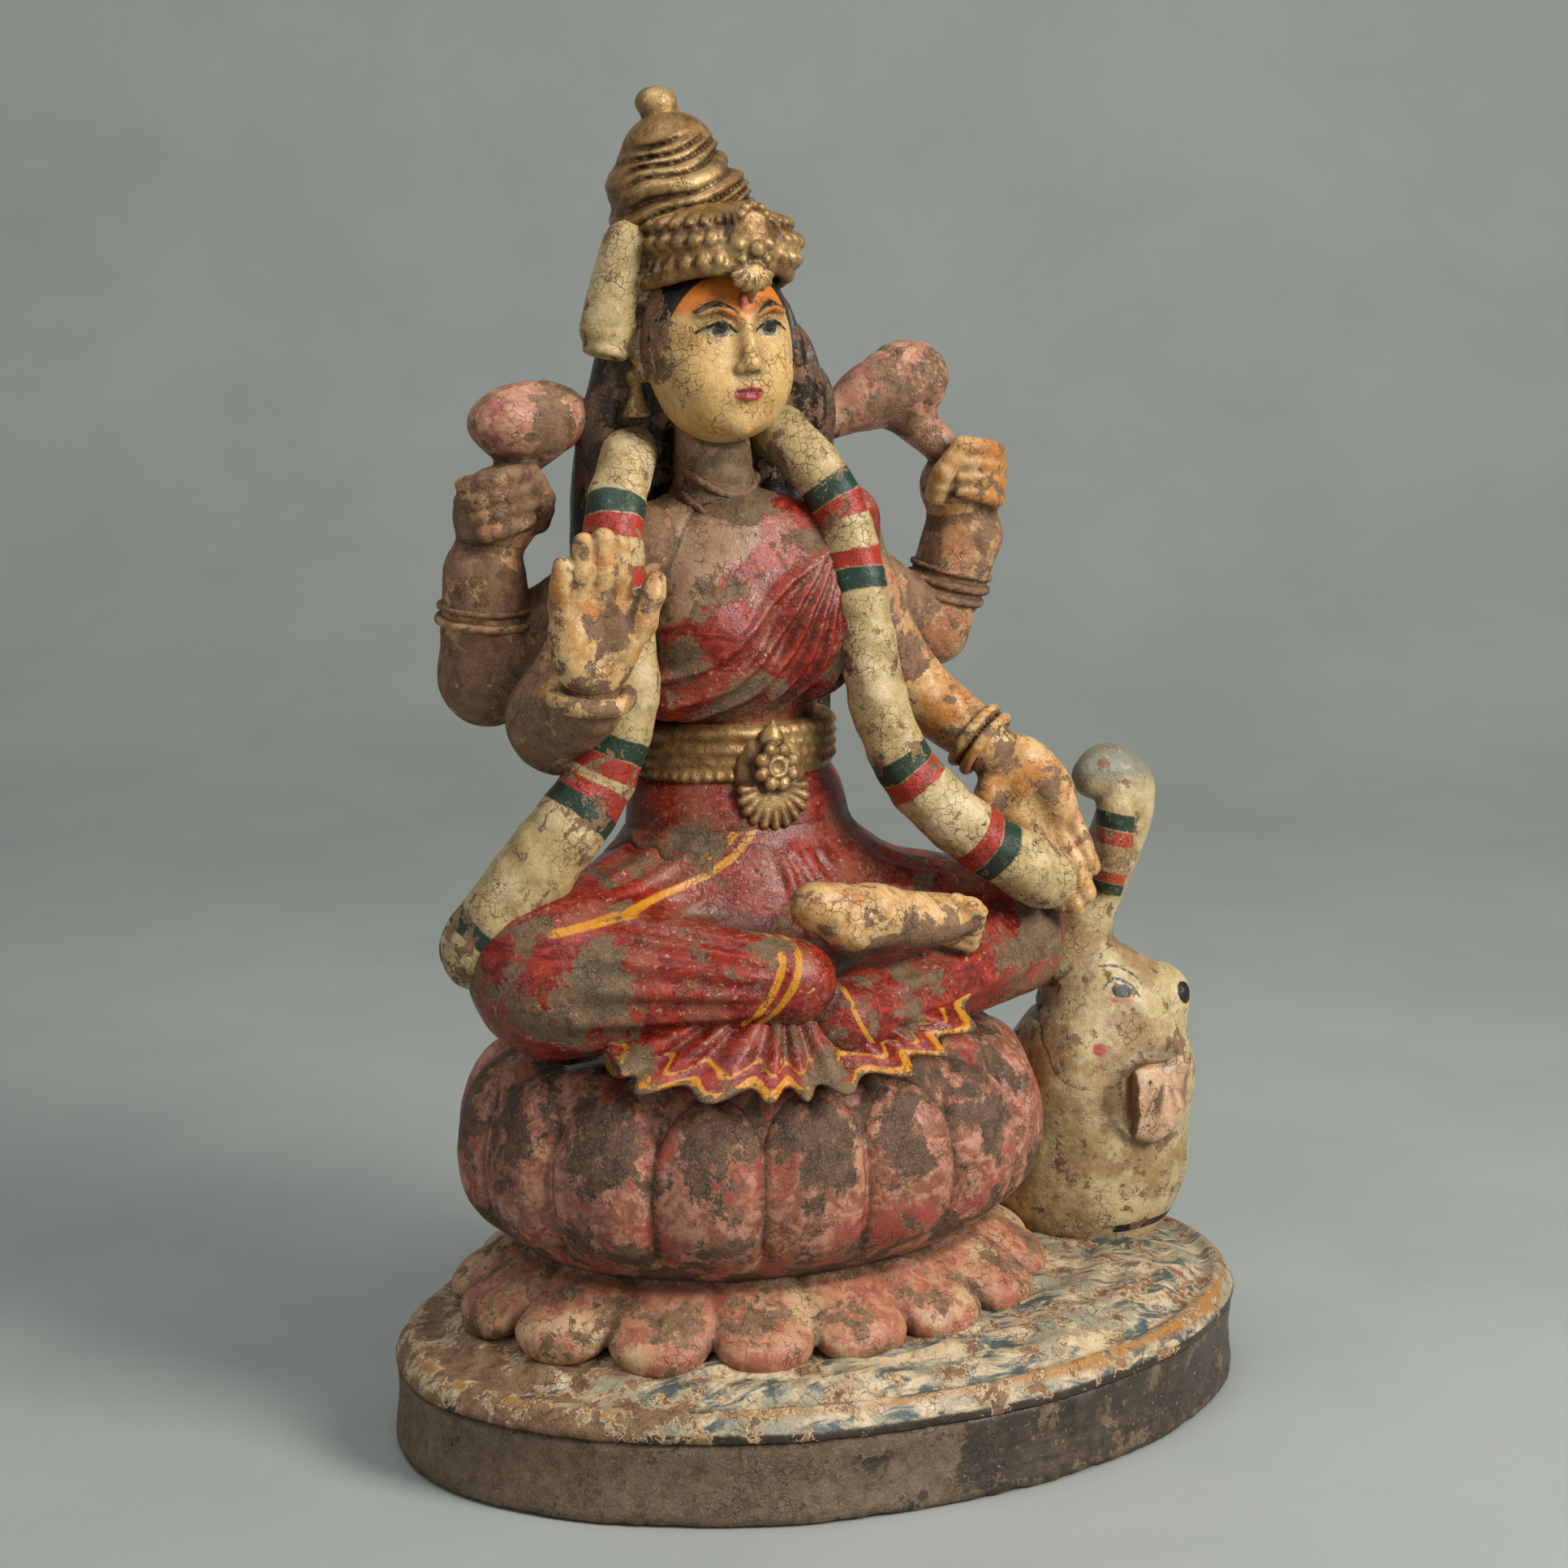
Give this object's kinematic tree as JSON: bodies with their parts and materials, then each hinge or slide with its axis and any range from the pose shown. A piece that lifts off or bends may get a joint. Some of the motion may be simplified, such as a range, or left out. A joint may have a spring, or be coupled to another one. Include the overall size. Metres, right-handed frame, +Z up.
{
  "type": "seated goddess statue",
  "caption": "Painted clay statue of a four-armed goddess seated on a lotus above an oval base, with a small elephant raising its trunk at her side.",
  "frame": {"origin": "on the table, under the centre of the oval plinth", "axes": "+Z up, the figure faces -Y, +X towards her left hand and the elephant"},
  "size_m": [0.312, 0.22, 0.4498],
  "materials": {
    "bare_clay": "matte",
    "water_paint": "satin",
    "rose_paint": "satin",
    "red_paint": "satin",
    "skin_paint": "satin",
    "bronze_paint": "satin",
    "black_paint": "satin",
    "cream_paint": "satin"
  },
  "bodies": {
    "root": {"plinth_band": "bare_clay", "water_deck": "water_paint", "lotus_seat": "rose_paint", "lower_petals": "rose_paint", "upper_petals": "rose_paint", "rim_petals": "rose_paint", "lap": "red_paint", "right_leg": "red_paint", "left_leg": "red_paint", "right_foot": "skin_paint", "sari_hem": "red_paint", "torso": "bare_clay", "sari_drape": "red_paint", "waist_belt": "bronze_paint", "belt_buckle": "bronze_paint", "neck": "skin_paint", "head": "skin_paint", "hair_back": "black_paint", "tiara": "bronze_paint", "crown": "bronze_paint", "crown_finial": "bronze_paint", "hair_garland": "cream_paint", "earrings": "bronze_paint", "necklace": "bronze_paint", "right_front_upper_arm": "bare_clay", "right_front_forearm": "bare_clay", "blessing_hand": "skin_paint", "left_front_upper_arm": "red_paint", "left_front_forearm": "skin_paint", "giving_hand": "skin_paint", "right_back_upper_arm": "bare_clay", "right_back_forearm": "bare_clay", "right_fist": "bare_clay", "right_lotus_bud": "rose_paint", "left_back_upper_arm": "bare_clay", "left_back_forearm": "bare_clay", "left_fist": "skin_paint", "left_lotus_bud": "rose_paint", "front_bangles": "bronze_paint", "back_bangles": "bronze_paint", "garland_right": "cream_paint", "garland_left": "cream_paint", "elephant_body": "cream_paint", "elephant_head": "cream_paint", "elephant_trunk": "cream_paint", "elephant_ears": "cream_paint"}
  },
  "joints": []
}
